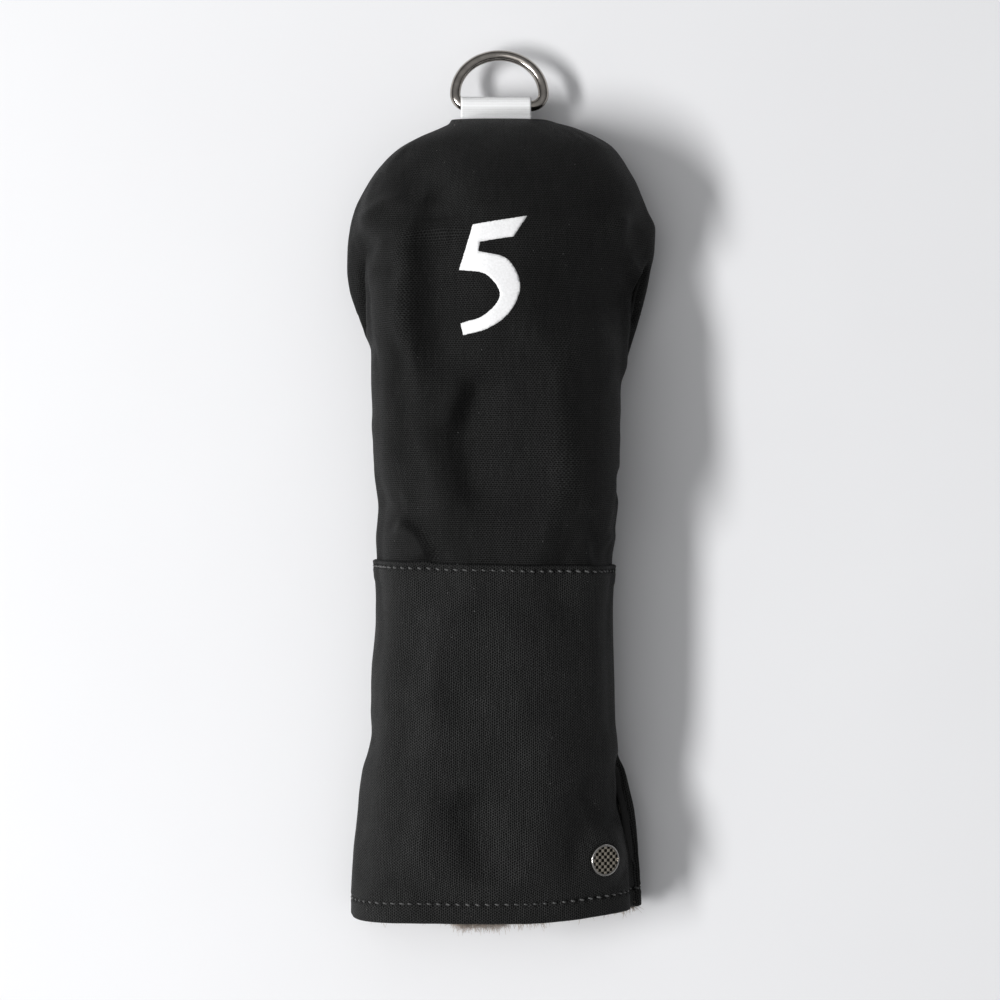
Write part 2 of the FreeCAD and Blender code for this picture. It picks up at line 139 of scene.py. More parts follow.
# folds of the front: path, half-width, height, fade and lean; a lean of 1 leaves only the side to the right of
# the path, with a step of the length SHARP
FOLD_DEPTH = 1.18
SHARP = 1.5
FOLDS = (
    # valley beside the number, crest of the left side, valleys and fullness of the neck
    (((-21, 132), (-23, 108), (-22, 86), (-20, 66), (-18, 42)), 10, -5.4, 20, 0),
    (((-36, 112), (-36, 92), (-35, 66), (-35, 36), (-35, 8)), 6.5, 2.4, 16, 0),
    (((-2, 54), (-7, 40), (-10, 28), (-8, 14), (-3, -2)), 7.5, -4.2, 14, 0),
    (((-9, 50), (-14, 40), (-18, 28)), 4.5, 1.6, 8, 0),
    (((29, 80), (31, 46), (31, 14), (29, -12)), 12, 4.2, 20, 0),
    # left ear: ridge over it and the edge of the tube beside it
    (((-50, 99), (-46, 105), (-39, 109.5), (-27, 114)), 3.4, 1.7, 10, 0),
    (((-42, 99), (-34, 104), (-25, 106)), 5, -1.6, 10, 0),
    (((-44.3, 97), (-44.4, 82), (-44.4, 60)), 1.1, 1.3, 5, 0),
    (((-47, 93), (-46.8, 80), (-46.6, 64)), 1.5, -1.2, 6, 0),
    (((-51, 73), (-46, 65)), 1.6, -1.6, 3, 0),
    # right ear: edge of its long fold and the dents round it
    (((54.4, 93), (51.4, 86.5), (48.6, 81), (47.4, 72), (43.8, 48)), 3, 0.9, 7, 1),
    (((55.6, 92), (52.8, 85), (50, 79), (48.6, 66)), 1.4, -2.6, 6, 0),
    (((46, 94), (50, 85)), 2.2, 1.3, 4, 0),
    (((43, 110), (44, 100), (45, 92)), 3.6, 1.4, 7, 0),
    (((53, 112), (51, 102), (49, 93)), 4, -1.6, 8, 0),
    (((43, 84), (41, 72), (39, 60)), 5, -1.2, 10, 0),
    # darts by the canvas edge, left and right
    (((-35, 0), (-29.5, -3), (-25, -7.5), (-22.6, -12), (-22.4, -18)), 6.5, 1.5, 5, 1),
    (((-44, 5), (-38, 4), (-31, 6)), 4, -0.9, 4, 0),
    (((30, 4), (33, -4), (36.5, -10), (38.5, -18)), 3, -1.8, 6, 0),
    (((43, 18), (41.5, 6), (41.5, -8)), 1.6, -1.6, 5, 0),
    # dents and swells of the sleeve
    (((-14, -92), (-6, -108), (0, -134)), 9, -4.2, 14, 0),
    (((-4, -26), (8, -50), (12, -76)), 9, 1.7, 16, 0),
    (((-24, -34), (-16, -56), (-8, -78)), 7.5, -1.1, 16, 0),
    (((15, -98), (18, -114), (18, -134)), 8, 1.8, 14, 0),
    (((-33, -40), (-37, -76), (-34, -112), (-30, -134)), 8, 1.3, 20, 0),
    (((27, -88), (30, -106), (28, -132)), 6, -1.5, 14, 0),
    # crease by the mouth's corner and the groove before the back strip
    (((34, -88), (33, -98), (37, -106), (43, -112)), 3, -1.2, 5, 0),
    (((40, -72), (41, -90), (42.5, -104)), 2.6, 1.2, 7, 0),
    (((43.4, -84), (44.4, -98), (47.4, -110), (49.6, -122), (51.2, -150)), 1.6, -3.2, 8, 0),
)

# cloth simulation: grid spacing, size factor, pressure, how much smaller it starts, the furthest that a point
# may move, and its length in frames
CELL, SIM_SCALE, PRESSURE, SWELL, MOST_GIVE, SIM_FRAMES = 4.5, 10.0, 3.0, 1.6, 2.2, 20
# where the cloth has moved to, for the front and the back: row places and a table of shifts
GIVE = {}


# ---- small numeric tools
def hermite(at, x, y, slope):
    """Cubic curve through y at x with the given slopes."""
    i = np.clip(np.searchsorted(x, at) - 1, 0, len(x) - 2)
    span = x[i + 1] - x[i]
    t = np.clip((at - x[i]) / span, 0, 1)
    near = (1 + 2 * t) * (1 - t) ** 2 * y[i] + t * (1 - t) ** 2 * span * slope[i]
    far = t * t * (3 - 2 * t) * y[i + 1] + t * t * (t - 1) * span * slope[i + 1]
    return near + far


def through(at, positions, values):
    """Smooth curve through the given points, without overshoot between them."""
    x, y = np.asarray(positions, float), np.asarray(values, float)
    rise = np.diff(y) / np.diff(x)
    slope = np.zeros_like(y)
    same = rise[:-1] * rise[1:] > 0
    slope[1:-1][same] = 2 * rise[:-1][same] * rise[1:][same] / (rise[:-1] + rise[1:])[same]
    slope[0], slope[-1] = rise[0], rise[-1]
    return hermite(at, x, y, slope)


def linked(name, data):
    """New object in the scene."""
    piece = bpy.data.objects.new(name, data)
    bpy.context.scene.collection.objects.link(piece)
    return piece


def unit(vectors):
    return vectors / np.maximum(np.linalg.norm(vectors, axis=-1, keepdims=True), 1e-9)


def run_along(points):
    """Distance from the first point to each point of a line."""
    return np.concatenate([[0], np.cumsum(np.linalg.norm(np.diff(points, axis=0), axis=1))])


def smooth_path(points, step):
    """Points at about the given spacing along a curve that passes through the given ones."""
    points = np.asarray(points, float)
    run = run_along(points)
    at = np.linspace(0, run[-1], max(int(run[-1] / step), 2) + 1)
    return np.stack([hermite(at, run, values, np.gradient(values, run)) for values in points.T], axis=1)


def smooth(value, low, high):
    t = np.clip((value - low) / (high - low), 0, 1)
    return t * t * (3 - 2 * t)


def soft_noise(x, y, scale, seed):
    """Smooth noise between -1 and 1 with features of about the given size."""
    size, shift_x, shift_y = 64, 31.3, 30.7
    table = np.random.default_rng(seed).uniform(-1, 1, (size, size))
    gx, gy = x / scale + shift_x, y / scale + shift_y
    ix, iy = np.floor(gx).astype(int), np.floor(gy).astype(int)
    fx, fy = smooth(gx - ix, 0, 1), smooth(gy - iy, 0, 1)
    low = table[ix % size, iy % size] * (1 - fx) + table[(ix + 1) % size, iy % size] * fx
    high = table[ix % size, (iy + 1) % size] * (1 - fx) + table[(ix + 1) % size, (iy + 1) % size] * fx
    return low * (1 - fy) + high * fy


def fold(x, y, path, width, height, fade, lean):
    """Rounded fold along a path, fading out at its ends; a leaning one drops off sharply on one side."""
    path = np.array(path, float)
    best = np.full(np.shape(x), 1e9)
    along, side = np.zeros(np.shape(x)), np.zeros(np.shape(x))
    lengths = np.hypot(*np.diff(path, axis=0).T)
    start, total = 0.0, lengths.sum()
    for (ax, ay), (bx, by), length in zip(path[:-1], path[1:], lengths):
        dx, dy = (bx - ax) / length, (by - ay) / length
        t = np.clip((x - ax) * dx + (y - ay) * dy, 0, length)
        away = np.hypot(x - ax - t * dx, y - ay - t * dy)
        nearer = away < best
        best = np.where(nearer, away, best)
        along = np.where(nearer, start + t, along)
        side = np.where(nearer, (x - ax) * dy - (y - ay) * dx, side)
        start += length
    ends = smooth(along, 0, fade) * smooth(total - along, 0, fade)
    return height * np.exp(-(best / width) ** 2) * ends * (1 + lean * np.tanh(side / SHARP))


def spaced(low, high, step, near=(), fine=0.3, reach=2.4):
    """Row positions from low to high, closer together near the given lines."""
    rows = [low]
    while rows[-1] < high - 1e-6:
        gap = min([abs(rows[-1] + fine - y) for y in near] or [1e9])
        rows.append(rows[-1] + (fine if gap < reach else step))
    rows = np.array(rows)
    return low + (rows - low) * (high - low) / (rows[-1] - low)


def dome_rows(last, count):
    """Rows over the dome at even angles, after the widest section and up to the last angle."""
    return HEAD_Y + (CROWN_Y - HEAD_Y) * np.sin(np.linspace(0, last, count)[1:])


def rows_over(low, high, step, dome_count):
    """Even rows up to the widest section, then rows over the dome as far as they go."""
    rows = spaced(low, min(high, HEAD_Y), step)
    if high > HEAD_Y:
        last = math.asin((high - HEAD_Y) / (CROWN_Y - HEAD_Y))
        rows = np.concatenate([rows, dome_rows(last, dome_count)])
    return rows


def sleeve_rows():
    return spaced(MOUTH_Y, BAND_Y, 0.8, near=(MOUTH_Y, HEM_STITCH_Y, BAND_STITCH_Y, BAND_Y))


# ---- the cover's surface
def polar(angle, half_x, half_z, power):
    """Distance from the middle to a superellipse at an angle."""
    c, s = np.abs(np.cos(angle)), np.abs(np.sin(angle))
    return ((c / half_x) ** power + (s / half_z) ** power) ** (-1 / power)


def travel(y):
    """Coordinate that runs evenly over the dome: y up to the widest section, then the turn's angle."""
    reach = CROWN_Y - HEAD_Y
    t = np.clip((np.asarray(y, float) - HEAD_Y) / reach, 0, 1)
    return np.where(np.asarray(y) < HEAD_Y, y, HEAD_Y + reach * np.arcsin(t))


def two_sided(y, table, angle):
    """Value of a (y, left, right) table at each row and angle: by its side, and blended over the middle."""
    places = travel([row[0] for row in table])
    left = through(travel(y), places, [row[1] for row in table])[:, None]
    right = through(travel(y), places, [row[2] for row in table])[:, None]
    share = 0.5 + 0.5 * np.tanh(3 * np.cos(angle))[None, :]
    exact = np.where(np.cos(angle) >= 0, 1.0, 0.0)[None, :]
    return right * exact + left * (1 - exact), right * share + left * (1 - share)


def rise(y):
    """Height of the front above the side seams."""
    low = through(np.minimum(y, HEAD_Y), *zip(*FRONT_HEIGHT))
    t = np.clip((y - HEAD_Y) / (CROWN_Y - HEAD_Y), 0, 1)
    return np.where(y < HEAD_Y, low, CROWN_HALF + (low - CROWN_HALF) * np.sqrt(1 - t ** 2.5))


def drop(y):
    """Depth of the back below the side seams."""
    t = np.clip((y - HEAD_Y) / (CROWN_Y - HEAD_Y), 0, 1)
    return CROWN_HALF + (SEAM_Z + BASE_DIP - CROWN_HALF) * np.sqrt(1 - t ** 4)


def joined(a, b, crease):
    """The larger of two radii, with a fillet where they cross."""
    return 0.5 * (a + b + np.sqrt((a - b) ** 2 + crease ** 2))


def section(y, front):
    """Dense outline across the body for each y: x and z, from the right seam to the left, or back again."""
    first = 0 if front else math.pi
    angle = np.linspace(first, first + math.pi, SECTION_POINTS)
    edge, _ = two_sided(y, OUTLINE, angle)
    tube, _ = two_sided(y, TUBE, angle)
    _, ear_top = two_sided(y, EAR_HEIGHT, angle)
    _, shoulder = two_sided(y, SHOULDER, angle)
    top = rise(y)[:, None]
    merging = smooth(y, HEAD_Y - 3, HEAD_Y + 9)[:, None] * smooth(np.abs(np.sin(angle)), 0.05, 0.5)[None, :]
    merging *= 1 - smooth(y, CROWN_Y - 9, CROWN_Y - 0.5)[:, None]
    fading = 1 - smooth(y, CROWN_Y - 4, CROWN_Y)[:, None]
    crease = CREASE * (0.4 + 0.6 * smooth(edge - tube, 0.5, 3.0)) * fading + MERGE * merging
    if front:
        ear = polar(angle[None, :], edge, np.minimum(ear_top, top * 0.9), EAR_POWER)
        radius = joined(polar(angle[None, :], tube, top, shoulder), ear, crease)
    else:
        radius = polar(angle[None, :], joined(tube, edge, crease), drop(y)[:, None], BACK_POWER)
    return radius * np.cos(angle), SEAM_Z + radius * np.sin(angle)


def grid(rows, columns, front, folded=True):
    """Points (row, column, xyz), unit normals and cloth coordinates of the cover's outer form."""
    rows = np.asarray(rows, float)
    x, z = section(rows, front)
    steps = np.hypot(np.diff(x, axis=1), np.diff(z, axis=1))
    run = np.concatenate([np.zeros((len(rows), 1)), np.cumsum(steps, axis=1)], axis=1)
    share = np.linspace(0, 1, columns)
    points = np.zeros((len(rows), columns, 3))
    across = np.zeros((len(rows), columns))
    for j in range(len(rows)):
        at = share * run[j, -1]
        points[j, :, 0] = np.interp(at, run[j], x[j])
        points[j, :, 2] = np.interp(at, run[j], z[j])
        middle = run[j, SECTION_POINTS // 2]
        across[j] = middle - at if front else at - middle
    points[:, :, 1] = rows[:, None]
    seam_gap = np.minimum(share, 1 - share)[None, :] * run[:, -1:]
    points = points + give(rows, share, front)
    if folded:
        lift = folds(points, seam_gap) if front else back_folds(points, seam_gap)
        points = points + normals(points) * lift[:, :, None]
    if front:
        points = settle_under_stud(points)
    else:
        points[:, :, 2] = np.maximum(points[:, :, 2], 0.0)
    along = np.repeat(travel(rows)[:, None], columns, axis=1)
    grain = np.stack([across, along, np.zeros_like(along)], axis=2)
    return points, normals(points), grain


def normals(points):
    """Outward unit normals of a grid of points."""
    n = unit(np.cross(np.gradient(points, axis=0), np.gradient(points, axis=1)))
    middle = n.shape[1] // 2
    inward = n[:, middle, 2].mean() * (points[:, middle, 2].mean() - SEAM_Z) < 0
    return -n if inward else n


def turned_in(points, seam_gap, lift):
    """A displacement that sinks in at the side seams and fades out at the crown."""
    lift = lift - 0.75 * np.exp(-seam_gap / 0.7)
    return lift * smooth(CROWN_Y - points[:, :, 1], 0, 6)


def folds(points, seam_gap):
    """Outward displacement of the front by the folds and dents of the loosely filled cloth."""
    x, y = points[:, :, 0], points[:, :, 1]
    calm = 0.15 + 0.85 * smooth(y, -30, 30)
    lift = calm * (0.8 * soft_noise(x, y, 34, 3) + 0.5 * soft_noise(x, y, 14, 4))
    lift = lift + 0.14 * soft_noise(x, y, 6, 5)
    for path, width, height, fade, lean in FOLDS:
        lift = lift + FOLD_DEPTH * fold(x, y, path, width, height, fade, lean)
    return turned_in(points, seam_gap, lift * (0.25 + 0.75 * smooth(seam_gap, 1, 9)))


def back_folds(points, seam_gap):
    """Gentle unevenness of the back."""
    lift = 0.5 * soft_noise(points[:, :, 0], points[:, :, 1], 22, 8) * smooth(seam_gap, 1, 9)
    return turned_in(points, seam_gap, lift)


# ---- the stud's seat
STUD_TO_CLOTH = 1.15
SEAT_RADIUS, SEAT_REACH = 5.0, 15.0


def stud_seat():
    """Middle of the stud's seat on the cloth and the direction the stud faces."""
    plate, cap = centre_mm("stud_back_plate"), centre_mm("stud_cap")
    facing = unit(cap - plate)
    return cap - facing * STUD_TO_CLOTH, facing


def stud_distance(points):
    """Height of points above the stud's seat, distance from its axis, and whether they are on its side."""
    seat, facing = stud_seat()
    offset = points - seat
    height = offset @ facing
    return height, np.linalg.norm(offset - height[:, :, None] * facing, axis=2), height > -12


def settle_under_stud(points):
    """Draws the cloth flat under the stud."""
    height, away, near = stud_distance(points)
    pull = (1 - smooth(away, SEAT_RADIUS, SEAT_REACH)) * near
    return points - (height * pull)[:, :, None] * stud_seat()[1]


# ---- cloth simulation
def spline_weights(at, count):
    """Indices and cubic B-spline weights of the four table entries round each position."""
    base = np.clip(np.floor(at).astype(int), 0, count - 2)
    f = at - base
    weights = ((1 - f) ** 3, 3 * f ** 3 - 6 * f ** 2 + 4, -3 * f ** 3 + 3 * f ** 2 + 3 * f + 1, f ** 3)
    return [(np.clip(base + k - 1, 0, count - 1), w / 6) for k, w in enumerate(weights)]


def give(rows, share, front):
    """How far the simulated cloth has moved at each row and share of the way across."""
    if front not in GIVE:
        return 0.0
    places, table = GIVE[front]
    down = spline_weights(np.interp(travel(rows), places, np.arange(len(places))), len(places))
    over = spline_weights(share * (table.shape[1] - 1), table.shape[1])
    total = 0.0
    for j, row_weight in down:
        for i, column_weight in over:
            total = total + table[j][:, i] * row_weight[:, None, None] * column_weight[None, :, None]
    return total


def cloth_tube(points, groups):
    """Object for a tube of cloth: quads round a grid of points, with its groups of weights."""
    rows, count = points.shape[:2]
    j, i = np.meshgrid(np.arange(rows - 1), np.arange(count), indexing="ij")
    a, b = (j * count + i).ravel(), (j * count + (i + 1) % count).ravel()
    quads = np.stack([b, a, a + count, b + count], axis=1)
    mesh = bpy.data.meshes.new("cloth")
    mesh.from_pydata((points.reshape(-1, 3) * MM * SIM_SCALE).tolist(), [], quads.tolist())
    cloth = linked("cloth", mesh)
    for name, weights in groups.items():
        group = cloth.vertex_groups.new(name=name)
        for index, weight in enumerate(weights.ravel()):
            group.add([index], float(weight), "REPLACE")
    return cloth


def settled(cloth):
    """Lets the cloth settle under pressure and gives its points in millimetres."""
    settings = cloth.modifiers.new("Cloth", "CLOTH").settings
    settings.quality, settings.mass = 8, 0.1
    settings.tension_stiffness = settings.compression_stiffness = 15
    settings.shear_stiffness, settings.bending_stiffness = 6, 0.3
    settings.use_pressure, settings.uniform_pressure_force = True, PRESSURE
    settings.effector_weights.gravity = 0
    settings.vertex_group_mass, settings.pin_stiffness = "hold", 1.0
    settings.vertex_group_shrink, settings.shrink_min, settings.shrink_max = "gather", -0.012, 0.05
    scene = bpy.context.scene
    for moment in range(1, SIM_FRAMES + 1):
        scene.frame_set(moment)
    mesh = cloth.evaluated_get(bpy.context.evaluated_depsgraph_get()).to_mesh()
    moved = np.zeros(len(mesh.vertices) * 3)
    mesh.vertices.foreach_get("co", moved)
    scene.frame_set(1)
    return moved / MM / SIM_SCALE


def simulate():
    """Inflates a coarse copy of the cover as cloth, drawn in by the seams and the neck's elastic."""
    rows = np.concatenate([spaced(MOUTH_Y, HEAD_Y, CELL), dome_rows(1.5, 16)])
    over, over_out, _ = grid(rows, 57, True)
    under, under_out, _ = grid(rows, 45, False)
    tube = np.concatenate([over, under[:, 1:-1]], axis=1)
    outward = np.concatenate([over_out, under_out[:, 1:-1]], axis=1)
    middle = over.shape[1]
    y, z = tube[:, :, 1], tube[:, :, 2]
    # held at the seams, low down, at the mouth and at the crown; gathered by the elastic and the canvas edge
    seam = np.zeros(tube.shape[:2])
    seam[:, [0, middle - 1]] = 0.9
    low_side = np.where(np.arange(tube.shape[1]) < middle, 1 - smooth(z, 19, 30), 1 - smooth(z, 1, 8))
    ends = np.maximum(1 - smooth(y - MOUTH_Y, 0, 16), smooth(y, CROWN_Y - 12, CROWN_Y - 3))
    hold = np.maximum(np.maximum(seam, low_side), ends)
    gather = np.exp(-((y - ELASTIC_Y) / 7) ** 2) + 0.5 * np.exp(-((y - BAND_Y) / 3) ** 2)
    start = tube - outward * (SWELL * (1 - hold))[:, :, None]
    cloth = cloth_tube(start, {"hold": hold, "gather": np.minimum(gather, 1)})
    shift = settled(cloth).reshape(tube.shape) - tube
    bpy.data.objects.remove(cloth)
    far = np.linalg.norm(shift, axis=2, keepdims=True)
    shift *= np.minimum(1, MOST_GIVE / np.maximum(far, 1e-6))
    back = np.concatenate([shift[:, middle - 1:], shift[:, :1]], axis=1)
    GIVE[True], GIVE[False] = (travel(rows), shift[:, :middle]), (travel(rows), back)


# ---- meshes
def mesh_piece(name, points, faces, material, body="cover", grain=None):
    """Object from points in millimetres and faces, with its cloth coordinates stored for the material."""
    mesh = bpy.data.meshes.new(name)
    mesh.from_pydata((np.asarray(points) * MM).tolist(), [], faces)
    if grain is not None:
        layer = mesh.attributes.new("grain", "FLOAT_VECTOR", "POINT")
        layer.data.foreach_set("vector", np.asarray(grain, np.float32).ravel())
    mesh.polygons.foreach_set("use_smooth", [True] * len(mesh.polygons))
    mesh.materials.append(material)
    mesh.update()
    piece = linked(name, mesh)
    if body:
        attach(piece, body)
    return piece


def stand_in(piece, slot, *nodes):
    """Hides the CAD nodes that a piece takes the place of; the material slot is not used."""
    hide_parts(*nodes)
    return piece


def sheet_faces(rows, columns, start, flip):
    """Quads over a grid of points numbered from start."""
    j, i = np.meshgrid(np.arange(rows - 1), np.arange(columns - 1), indexing="ij")
    a = (start + j * columns + i).ravel()
    quads = np.stack([a, a + 1, a + columns + 1, a + columns], axis=1)
    return quads[:, ::-1] if flip else quads


def shell(name, outer, inner, grain, material, flip, body="cover"):
    """Closed sheet of cloth between an outer and an inner grid of points."""
    rows, columns = outer.shape[:2]
    count = rows * columns
    ring = np.concatenate([
        np.arange(columns), np.arange(1, rows) * columns + columns - 1,
        count - 2 - np.arange(columns - 1), (rows - 2 - np.arange(rows - 2)) * columns,
    ])
    after = np.roll(ring, -1)
    rim = np.stack([after, ring, ring + count, after + count], axis=1)
    faces = np.concatenate([
        sheet_faces(rows, columns, 0, flip), sheet_faces(rows, columns, count, not flip),
        rim[:, ::-1] if flip else rim,
    ])
    points = np.concatenate([outer.reshape(-1, 3), inner.reshape(-1, 3)])
    both = np.concatenate([grain.reshape(-1, 3)] * 2)
    return mesh_piece(name, points, faces.tolist(), material, body, both)


def edge_round(gap, radius):
    """How far a rounded edge lies below the flat of the sheet at a distance from the edge."""
    t = 1 - np.clip(gap / radius, 0, 1)
    return radius * (1 - np.sqrt(np.maximum(0, 1 - t * t)))


def rope(path, radius, sides, swell):
    """Points and faces of a round thread along a path, closed at both ends, with its swell at each point."""
    path = np.asarray(path, float)
    tangent = unit(np.gradient(path, axis=0))
    side = unit(np.cross(tangent, np.array([0.12, 0.31, 0.94])))
    up = np.cross(side, tangent)
    turn = np.linspace(0, 2 * math.pi, sides, endpoint=False)[None, :, None]
    round_it = np.cos(turn) * side[:, None, :] + np.sin(turn) * up[:, None, :]
    points = (path[:, None, :] + (radius * swell)[:, None, None] * round_it).reshape(-1, 3)
    faces = [list(range(sides))[::-1], list(range(len(points) - sides, len(points)))]
    for a in range(len(points) - sides):
        b = a + 1 if (a + 1) % sides else a + 1 - sides
        faces.append([a, b, b + sides, a + sides])
    return points, faces


# ---- materials
class Nodes:
    """Short ways to add nodes to a tree."""

    def __init__(self, tree):
        self.tree = tree

    def put(self, socket, value):
        if isinstance(value, bpy.types.NodeSocket):
            self.tree.links.new(value, socket)
        else:
            socket.default_value = value

    def node(self, kind, out=0, **settings):
        node = self.tree.nodes.new("ShaderNode" + kind)
        inputs = settings.pop("inputs", {})
        for key, value in settings.items():
            setattr(node, key, value)
        for key, value in inputs.items():
            self.put(node.inputs[key], value)
        return node.outputs[out]

    def math(self, operation, a, b=0.0):
        return self.node("Math", operation=operation, inputs={0: a, 1: b})

    def noise(self, vector, scale, detail=3.0, rough=0.55):
        inputs = {"Vector": vector, "Scale": scale, "Detail": detail, "Roughness": rough}
        return self.node("TexNoise", inputs=inputs)

    def band(self, value, low, high, to_low=0.0, to_high=1.0):
        inputs = {"Value": value, "From Min": low, "From Max": high, "To Min": to_low, "To Max": to_high}
        return self.node("MapRange", inputs=inputs)

    def blend(self, share, a, b):
        mix = self.tree.nodes.new("ShaderNodeMix")
        mix.data_type = "RGBA"
        for key, value in ((0, share), (6, a), (7, b)):
            self.put(mix.inputs[key], value)
        return mix.outputs[2]

    def wave(self, coordinate, pitch, shift=0.0):
        turns = self.math("MULTIPLY_ADD", coordinate, 2 * math.pi / pitch)
        turns.node.inputs[2].default_value = shift
        return self.math("SINE", turns)


class Look(Nodes):
    """A material under construction, with its Principled surface."""

    def __init__(self, name, **surface):
        self.material = bpy.data.materials.new(name)
        self.material.use_nodes = True
        super().__init__(self.material.node_tree)
        self.surface = next(n for n in self.tree.nodes if n.type == "BSDF_PRINCIPLED")
        for key, value in surface.items():
            self.surface.inputs[key.replace("_", " ")].default_value = value

    def colour(self, share, a, b):
        self.put(self.surface.inputs["Base Color"], self.blend(share, a, b))

    def roughness(self, value):
        self.put(self.surface.inputs["Roughness"], value)

    def bump(self, height, distance_mm):
        inputs = {"Height": height, "Distance": distance_mm * MM, "Strength": 1.0}
        self.put(self.surface.inputs["Normal"], self.node("Bump", inputs=inputs))

    def place(self):
        """The object's own coordinates in millimetres."""
        position = self.node("TexCoord", out=3)
        return self.node("VectorMath", operation="SCALE", inputs={0: position, "Scale": 1 / MM})

    def grain(self):
        """Cloth coordinates in millimetres: across and along the panel."""
        stored = self.node("Attribute", out=1, attribute_name="grain", attribute_type="GEOMETRY")
        parts = self.tree.nodes.new("ShaderNodeSeparateXYZ")
        self.put(parts.inputs[0], stored)
        return stored, parts.outputs[0], parts.outputs[1]


def grey(value, tint=(1.0, 1.0, 1.0)):
    return (value * tint[0], value * tint[1], value * tint[2], 1.0)


def woven(name, light, pitch_across, pitch_along, depth_mm, weave_depth):
    """Black plain-weave cloth: yarns cross over and under, with uneven yarns, lint and faint wear. Its colour
    follows the weave's height: the lighter yarn tops are a painted highlight and the near-black hollows
    between them are painted shade.
    """
    look = Look(name, Specular_IOR_Level=0.14)
    stored, across, along = look.grain()
    across = look.math("ADD", across, look.band(look.noise(stored, 0.35, 2.0), 0.3, 0.7, -0.2, 0.2))
    checker = look.math("MULTIPLY", look.wave(across, 2 * pitch_across), look.wave(along, 2 * pitch_along))
    coarse = across if pitch_across > pitch_along else along
    ribs = look.wave(coarse, max(pitch_across, pitch_along), math.pi / 2)
    weave = look.math("MULTIPLY_ADD", ribs, 0.7 * weave_depth)
    look.put(weave.node.inputs[2], look.math("MULTIPLY", checker, weave_depth))
    yarn = look.band(look.noise(stored, 2.4, 4.0, 0.8), 0.25, 0.75, -0.65, 0.65)
    drawn = look.node("VectorMath", operation="MULTIPLY", inputs={0: stored, 1: (1.3, 0.10, 1.0)})
    slub = look.band(look.noise(drawn, 1.0, 2.0), 0.3, 0.7, -0.08, 0.08)
    height = look.math("ADD", look.math("ADD", look.math("ADD", weave, 0.5), yarn), slub)
    look.bump(height, depth_mm)
    worn = look.band(look.noise(stored, 0.045, 4.0), 0.35, 0.75, 0.93, 1.08)
    # painted highlight and shade: the colour is lighter on the yarn tops and near black between them, standing
    # in for the threads' glints; the wear noise is real tone
    painted_glint_and_wear = look.math("POWER", look.math("MULTIPLY", look.band(height, -0.3, 1.4), worn), 2.3)
    cloth = look.blend(painted_glint_and_wear, grey(0.001), grey(light, (0.99, 1.0, 0.99)))
    cells = look.node("TexVoronoi", inputs={"Vector": stored, "Scale": 0.26, "Randomness": 1.0})
    lint = look.math("LESS_THAN", cells, look.band(look.noise(stored, 0.5, 1.0), 0.40, 0.62, 0.0, 0.05))
    look.colour(lint, cloth, grey(0.16))
    look.roughness(look.band(yarn, -0.7, 0.7, 0.60, 0.46))
    return look.material


def pile():
    """Taupe boa: mottled, very rough fibre."""
    look = Look("boa_pile", Roughness=0.95, Sheen_Weight=0.35, Sheen_Roughness=0.6)
    place = look.place()
    clumps = look.noise(place, 0.45, 4.0, 0.7)
    fine = look.noise(place, 3.0, 3.0, 0.7)
    mottle = look.band(look.math("ADD", clumps, look.math("MULTIPLY", fine, 0.5)), 0.45, 1.0)
    look.colour(mottle, (0.26, 0.20, 0.16, 1), (0.72, 0.63, 0.55, 1))
    look.bump(look.math("ADD", clumps, look.math("MULTIPLY", fine, 0.6)), 0.9)
    return look.material


def padding(name, colour, scale):
    """Loose fibrous padding or tape."""
    look = Look(name, Roughness=0.95, Sheen_Weight=0.2)
    fibres = look.noise(look.place(), scale, 5.0, 0.75)
    look.colour(look.band(fibres, 0.3, 0.7), grey(0.7, colour), grey(1.0, colour))
    look.bump(fibres, 0.4)
    return look.material


def thread():
    """Polyester thread: twisted strands with a slight shine."""
    look = Look("thread", Roughness=0.38, Specular_IOR_Level=0.7, Sheen_Weight=0.2)
    _, across, along = look.grain()
    twist = look.wave(look.math("ADD", along, across), 0.55)
    look.colour(look.band(twist, -1, 1), grey(0.05), grey(0.20))
    look.bump(twist, 0.06)
    return look.material


def webbing_look():
    """White flat webbing with fine crosswise ribs."""
    look = Look("webbing", Roughness=0.7, Sheen_Weight=0.15)
    stored, across, along = look.grain()
    yarns = look.math("MULTIPLY", look.wave(across, 0.62), 0.35)
    fuzz = look.band(look.noise(stored, 2.2, 3.0), 0.3, 0.7, -0.35, 0.35)
    height = look.math("ADD", look.math("ADD", look.wave(along, WEBBING_RIB), yarns), fuzz)
    look.colour(look.band(height, -1.3, 1.1), grey(0.89), grey(0.96, (0.995, 1, 1.005)))
    look.bump(height, 0.03)
    return look.material


def film():
    """Matt white transfer film, with the weave faintly showing through."""
    look = Look("number_film")
    mottle = look.noise(look.place(), 1.4, 4.0, 0.6)
    look.colour(look.band(mottle, 0.3, 0.75), grey(0.80), grey(0.92, (1, 1, 1.01)))
    look.roughness(look.band(mottle, 0.3, 0.7, 0.45, 0.65))
    look.bump(mottle, 0.04)
    return look.material


def metal(name, colour, roughness, wear):
    """Plated metal with fine scratches and slightly uneven polish."""
    look = Look(name, Metallic=1.0)
    place = look.place()
    smear = look.noise(place, 0.35, 4.0)
    fine = look.noise(place, 6.0, 5.0, 0.7)
    look.colour(look.band(smear, 0.35, 0.65), grey(0.8, colour), grey(1.0, colour))
    polish = look.band(smear, 0.3, 0.7, roughness * 0.7, roughness * 1.4)
    look.roughness(look.math("ADD", polish, look.band(fine, 0.5, 0.8, 0.0, wear)))
    look.bump(fine, 0.006)
    return look.material


